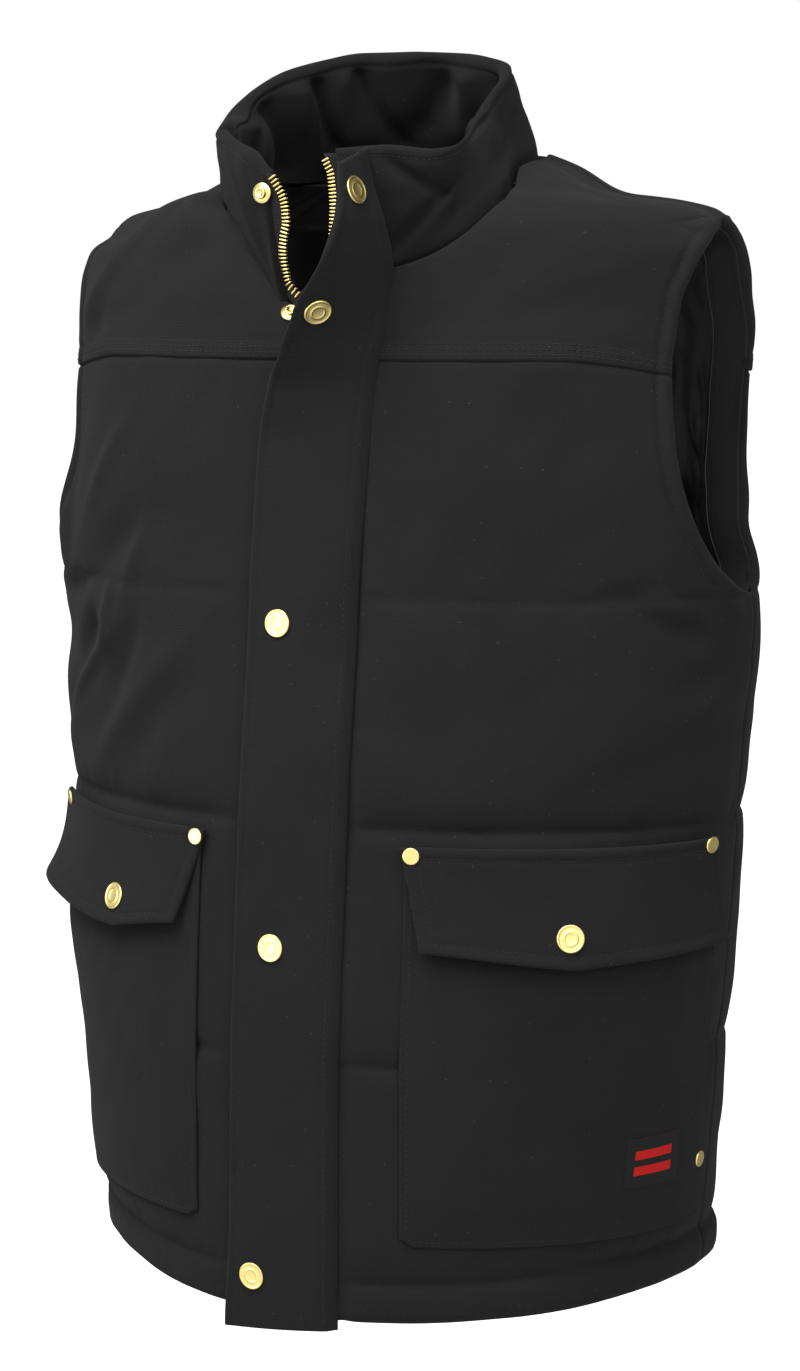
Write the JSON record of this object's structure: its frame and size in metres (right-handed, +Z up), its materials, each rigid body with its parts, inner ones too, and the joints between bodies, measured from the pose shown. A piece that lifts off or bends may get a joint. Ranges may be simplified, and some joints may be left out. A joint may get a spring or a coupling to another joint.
{
  "type": "padded work vest",
  "caption": "Padded canvas work vest with a stand collar, a snapped storm flap over a zipper, yokes, quilted body and flap pockets.",
  "frame": {"origin": "middle of the shoulder rest, level with the shoulders inside the garment, on the wearer's centre plane", "axes": "+Z up, +X to the wearer's left, and the front of the garment towards -Y"},
  "size_m": [0.4249, 0.2905, 0.695],
  "materials": {
    "canvas": "matte black cotton duck, plain weave, with tone-on-tone stitching",
    "lining_satin": "smooth black satin lining",
    "brass": "polished yellow brass",
    "zipper_tape": "black herringbone tape",
    "label_weave": "black woven label with two plain red bars"
  },
  "bodies": {
    "root": {"front_left": "canvas", "yoke_front_left": "canvas", "armhole_facing_left": "canvas", "pocket_left": "canvas", "pocket_flap_left": "canvas", "front_right": "canvas", "yoke_front_right": "canvas", "armhole_facing_right": "canvas", "pocket_right": "canvas", "pocket_flap_right": "canvas", "back_panel": "canvas", "yoke_back": "canvas", "collar": "canvas", "storm_flap": "canvas", "lining_front_left": "lining_satin", "lining_front_right": "lining_satin", "lining_back": "lining_satin", "zipper_teeth_left": "brass", "flap_rivet_left_1": "brass", "flap_rivet_left_2": "brass", "flap_snap_left": "brass", "pocket_rivet_left": "brass", "zipper_teeth_right": "brass", "flap_rivet_right_1": "brass", "flap_rivet_right_2": "brass", "flap_snap_right": "brass", "pocket_rivet_right": "brass", "storm_snap_1": "brass", "storm_snap_2": "brass", "storm_snap_3": "brass", "storm_snap_4": "brass", "storm_snap_5": "brass", "storm_stud_1": "brass", "storm_stud_2": "brass", "zipper_slider": "brass", "zipper_tape_left": "zipper_tape", "zipper_tape_right": "zipper_tape", "label": "label_weave"}
  },
  "joints": []
}
